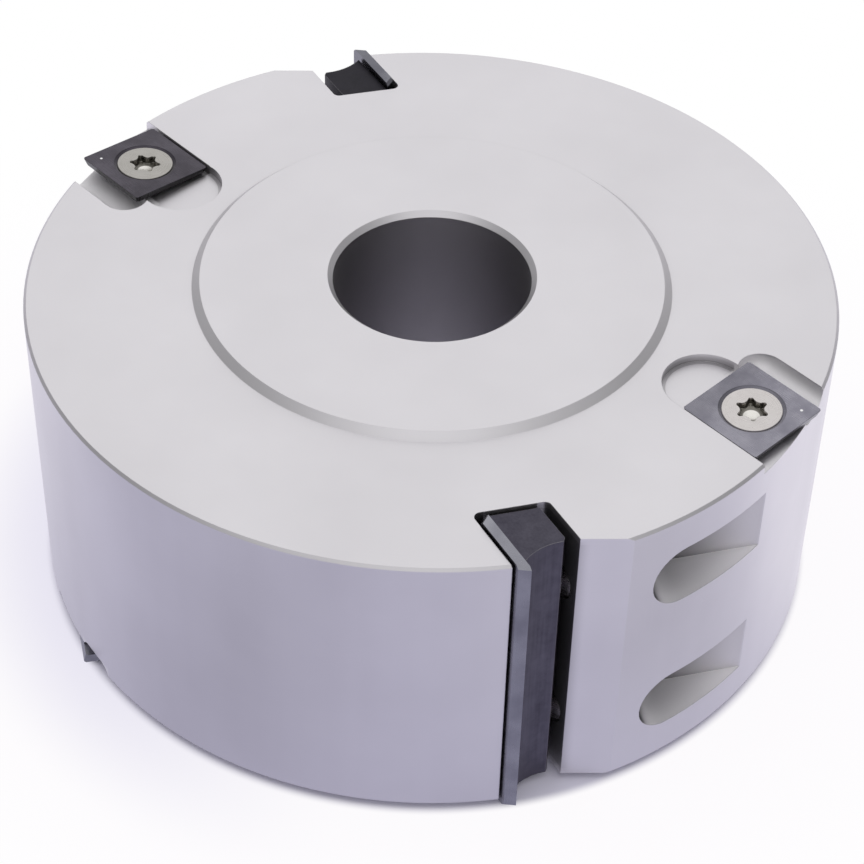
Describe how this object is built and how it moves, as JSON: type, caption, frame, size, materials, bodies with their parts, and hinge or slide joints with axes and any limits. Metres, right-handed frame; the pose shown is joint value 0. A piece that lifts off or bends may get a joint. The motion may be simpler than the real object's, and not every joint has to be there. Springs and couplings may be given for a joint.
{
  "type": "woodworking cutter head",
  "caption": "Round rebate cutter head with a central bore, straight turnover knives clamped in slots by gibs, and square spur knives screwed to both faces.",
  "frame": {"origin": "on the bore's axis, level with the lower hub face that the head stands on", "axes": "+Z along the bore's axis; seen from +Z the head turns anticlockwise; -Y is the side towards the camera in the picture, near the first knife"},
  "size_m": [0.1224, 0.1224, 0.0512],
  "materials": {
    "body_alloy": "fine satin, turned faces and rim",
    "carbide": "ground tungsten carbide",
    "blackened_steel": "blackened, satin",
    "plated_steel": "plated, light satin"
  },
  "bodies": {
    "root": {"cutter_body": "body_alloy", "knife_1": "carbide", "gib_1": "blackened_steel", "locating_pin_1_lower": "plated_steel", "clamp_screw_1_lower": "plated_steel", "locating_pin_1_upper": "plated_steel", "clamp_screw_1_upper": "plated_steel", "knife_2": "carbide", "gib_2": "blackened_steel", "locating_pin_2_lower": "plated_steel", "clamp_screw_2_lower": "plated_steel", "locating_pin_2_upper": "plated_steel", "clamp_screw_2_upper": "plated_steel", "spur_knife_top_1": "carbide", "spur_screw_top_1": "plated_steel", "spur_knife_top_2": "carbide", "spur_screw_top_2": "plated_steel", "spur_knife_bottom_1": "carbide", "spur_screw_bottom_1": "plated_steel", "spur_knife_bottom_2": "carbide", "spur_screw_bottom_2": "plated_steel"}
  },
  "joints": []
}
